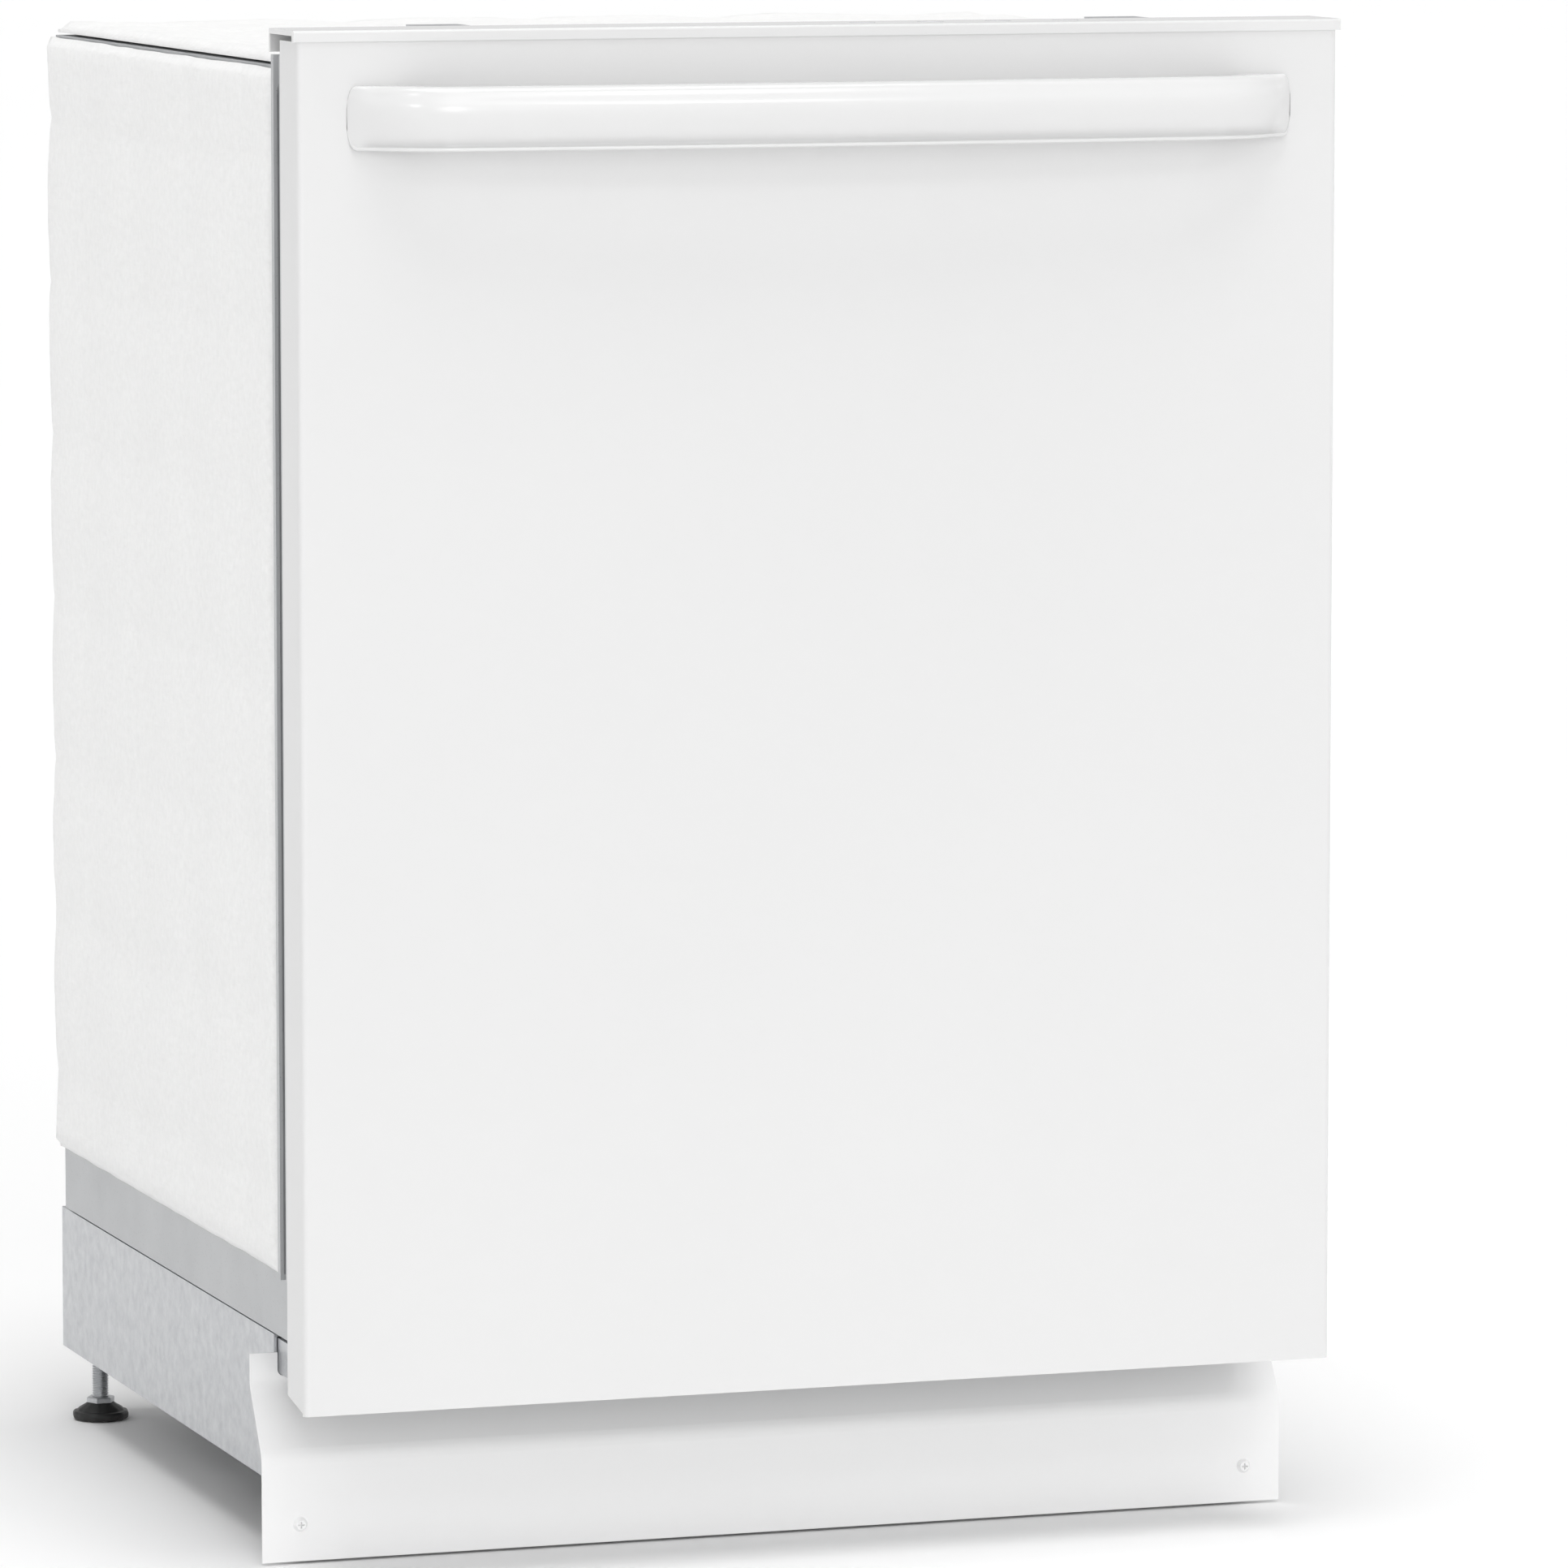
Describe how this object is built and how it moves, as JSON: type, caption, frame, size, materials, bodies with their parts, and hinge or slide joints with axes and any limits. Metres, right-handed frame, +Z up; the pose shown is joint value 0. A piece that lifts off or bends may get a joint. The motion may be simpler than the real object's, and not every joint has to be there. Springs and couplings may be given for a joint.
{
  "type": "built-in dishwasher",
  "caption": "Built-in under-counter dishwasher with a white drop-down door, bowed bar handle, top control strip, recessed toe panel, wire racks, spray arms and pump set.",
  "frame": {"origin": "middle of the floor rectangle under the machine, with the legs screwed in", "axes": "+Z up, -Y out of the door, +X to the right of someone facing the door"},
  "size_m": [0.61, 0.635, 0.86],
  "materials": {
    "white_enamel": "glossy white enamel on steel sheet, faint orange peel",
    "white_plastic": "moulded white plastic, semi-gloss",
    "tub_plastic": "light grey polypropylene, satin",
    "grey_plastic": "grey moulded plastic, satin",
    "black_plastic": "black moulded plastic",
    "zinc_steel": "zinc-plated steel, dull",
    "stainless": "stainless steel",
    "rubber": "moulded rubber",
    "gasket_rubber": "grey extruded rubber",
    "fleece": "needled white fibre blanket",
    "rack_coating": "grey nylon-coated steel wire",
    "heater_sheath": "oxidised nickel alloy sheath",
    "brass": "machined brass",
    "button_plastic": "pale grey key caps"
  },
  "bodies": {
    "root": {"tub": "tub_plastic", "tub_gasket": "gasket_rubber", "insulation_blanket": "fleece", "base_frame": "zinc_steel", "toe_kick": "white_enamel", "toe_kick_screws": "white_enamel", "hinge_brackets": "zinc_steel", "hinge_pins": "zinc_steel", "door_springs": "zinc_steel", "spring_cables": "zinc_steel", "counter_brackets": "zinc_steel", "latch_strike": "stainless", "sump": "black_plastic", "filter_plate": "grey_plastic", "lower_arm_hub": "grey_plastic", "heating_element": "heater_sheath", "wash_pump_housing": "black_plastic", "wash_motor": "zinc_steel", "drain_pump": "black_plastic", "drain_hose": "grey_plastic", "water_feed_tube": "grey_plastic", "inlet_valve": "white_plastic", "fill_hose": "rubber", "junction_box": "zinc_steel", "rack_rails": "stainless"},
    "door": {"door_outer_panel": "white_enamel", "door_inner_liner": "tub_plastic", "door_insulation": "fleece", "hinge_arms": "zinc_steel", "door_handle": "white_plastic", "control_cap": "white_plastic", "control_board": "black_plastic", "detergent_dispenser": "grey_plastic", "bottom_seal": "rubber"},
    "upper_rack": {"upper_rack": "rack_coating", "upper_arm_manifold": "grey_plastic"},
    "lower_rack": {"lower_rack": "rack_coating"},
    "rack_slides": {"rack_slides": "stainless"},
    "cup_shelf_left": {"cup_shelf_left": "rack_coating"},
    "cup_shelf_right": {"cup_shelf_right": "rack_coating"},
    "lower_wheels_front": {"lower_wheels_front": "grey_plastic"},
    "lower_wheels_rear": {"lower_wheels_rear": "grey_plastic"},
    "silverware_basket": {"silverware_basket": "grey_plastic"},
    "filter_cylinder": {"filter_cylinder": "grey_plastic"},
    "float_cap": {"float_cap": "grey_plastic"},
    "pump_impeller": {"pump_impeller": "black_plastic"},
    "lower_spray_arm": {"lower_spray_arm": "grey_plastic"},
    "top_spray_arm": {"top_spray_arm": "grey_plastic"},
    "upper_spray_arm": {"upper_spray_arm": "grey_plastic"},
    "leg_front_left": {"leg_front_left": "zinc_steel"},
    "leg_front_right": {"leg_front_right": "zinc_steel"},
    "leg_rear_left": {"leg_rear_left": "zinc_steel"},
    "leg_rear_right": {"leg_rear_right": "zinc_steel"},
    "button_start": {"button_start": "button_plastic"},
    "button_cycle": {"button_cycle": "button_plastic"},
    "button_dry": {"button_dry": "button_plastic"},
    "button_delay": {"button_delay": "button_plastic"},
    "latch_hook": {"latch_hook": "stainless"},
    "detergent_lid": {"detergent_lid": "grey_plastic"},
    "rinse_aid_cap": {"rinse_aid_cap": "grey_plastic"}
  },
  "joints": [
    {"name": "door_hinge", "type": "hinge", "parent": "root", "child": "door", "pos_m": [0, -0.24, 0.116], "axis": [1, 0, 0], "range_deg": [0, 90], "stiffness_Nm_per_rad": 17, "deforming": ["door_springs", "spring_cables"]},
    {"name": "lower_rack_slide", "type": "slide", "parent": "root", "child": "lower_rack", "axis": [0, -1, 0], "range_m": [0, 0.19]},
    {"name": "rack_slides_slide", "type": "slide", "parent": "root", "child": "rack_slides", "axis": [0, -1, 0], "range_m": [0, 0.215]},
    {"name": "upper_rack_slide", "type": "slide", "parent": "rack_slides", "child": "upper_rack", "axis": [0, -1, 0], "range_m": [0, 0.215]},
    {"name": "front_wheels_spin", "type": "hinge", "parent": "lower_rack", "child": "lower_wheels_front", "pos_m": [0, -0.02, 0.1534], "axis": [1, 0, 0], "continuous": true},
    {"name": "rear_wheels_spin", "type": "hinge", "parent": "lower_rack", "child": "lower_wheels_rear", "pos_m": [0, 0.17, 0.1534], "axis": [1, 0, 0], "continuous": true},
    {"name": "upper_spray_arm_spin", "type": "hinge", "parent": "upper_rack", "child": "upper_spray_arm", "pos_m": [0, 0.03, 0.47], "axis": [0, 0, 1], "continuous": true},
    {"name": "lower_spray_arm_spin", "type": "hinge", "parent": "root", "child": "lower_spray_arm", "pos_m": [0, 0.04, 0.17], "axis": [0, 0, 1], "continuous": true},
    {"name": "top_spray_arm_spin", "type": "hinge", "parent": "root", "child": "top_spray_arm", "pos_m": [0, 0.04, 0.79], "axis": [0, 0, 1], "continuous": true},
    {"name": "pump_impeller_spin", "type": "hinge", "parent": "root", "child": "pump_impeller", "pos_m": [-0.128, 0.06, 0.06], "axis": [1, 0, 0], "continuous": true},
    {"name": "filter_twist", "type": "hinge", "parent": "root", "child": "filter_cylinder", "pos_m": [0.068, -0.014, 0.11], "axis": [0, 0, 1], "range_deg": [0, 90]},
    {"name": "float_lift", "type": "slide", "parent": "root", "child": "float_cap", "axis": [0, 0, 1], "range_m": [0, 0.01]},
    {"name": "leg_front_left_height", "type": "slide", "parent": "root", "child": "leg_front_left", "axis": [0, 0, -1], "range_m": [0, 0.029]},
    {"name": "leg_rear_left_height", "type": "slide", "parent": "root", "child": "leg_rear_left", "axis": [0, 0, -1], "range_m": [0, 0.029]},
    {"name": "leg_front_right_height", "type": "slide", "parent": "root", "child": "leg_front_right", "axis": [0, 0, -1], "range_m": [0, 0.029]},
    {"name": "leg_rear_right_height", "type": "slide", "parent": "root", "child": "leg_rear_right", "axis": [0, 0, -1], "range_m": [0, 0.029]},
    {"name": "button_start_press", "type": "slide", "parent": "door", "child": "button_start", "axis": [0, 0, -1], "range_m": [0, 0.0012], "stiffness_N_per_m": 400},
    {"name": "button_cycle_press", "type": "slide", "parent": "door", "child": "button_cycle", "axis": [0, 0, -1], "range_m": [0, 0.0012], "stiffness_N_per_m": 400},
    {"name": "button_dry_press", "type": "slide", "parent": "door", "child": "button_dry", "axis": [0, 0, -1], "range_m": [0, 0.0012], "stiffness_N_per_m": 400},
    {"name": "button_delay_press", "type": "slide", "parent": "door", "child": "button_delay", "axis": [0, 0, -1], "range_m": [0, 0.0012], "stiffness_N_per_m": 400},
    {"name": "latch_hook_catch", "type": "hinge", "parent": "door", "child": "latch_hook", "pos_m": [0, -0.25, 0.8509], "axis": [-1, 0, 0], "range_deg": [0, 4], "stiffness_Nm_per_rad": 1},
    {"name": "detergent_lid_slide", "type": "slide", "parent": "door", "child": "detergent_lid", "axis": [1, 0, 0], "range_m": [0, 0.058]},
    {"name": "rinse_aid_cap_turn", "type": "hinge", "parent": "door", "child": "rinse_aid_cap", "pos_m": [0.078, -0.22, 0.48], "axis": [0, 1, 0], "range_deg": [0, 90]},
    {"name": "cup_shelf_left_fold", "type": "hinge", "parent": "upper_rack", "child": "cup_shelf_left", "pos_m": [-0.244, 0, 0.578], "axis": [0, -1, 0], "range_deg": [0, 85]},
    {"name": "cup_shelf_right_fold", "type": "hinge", "parent": "upper_rack", "child": "cup_shelf_right", "pos_m": [0.244, 0, 0.578], "axis": [0, 1, 0], "range_deg": [0, 85]},
    {"name": "silverware_basket_lift", "type": "slide", "parent": "lower_rack", "child": "silverware_basket", "axis": [0, 0, 1], "range_m": [0, 0.085]}
  ],
  "couplings": [
    {"joint": "lower_rack_slide", "follows": "door_hinge", "m_per_rad": 0.1209},
    {"joint": "rack_slides_slide", "follows": "door_hinge", "m_per_rad": 0.1365},
    {"joint": "upper_rack_slide", "follows": "door_hinge", "m_per_rad": 0.1365},
    {"joint": "front_wheels_spin", "follows": "door_hinge", "ratio": 7.1118},
    {"joint": "rear_wheels_spin", "follows": "door_hinge", "ratio": 7.1118}
  ]
}
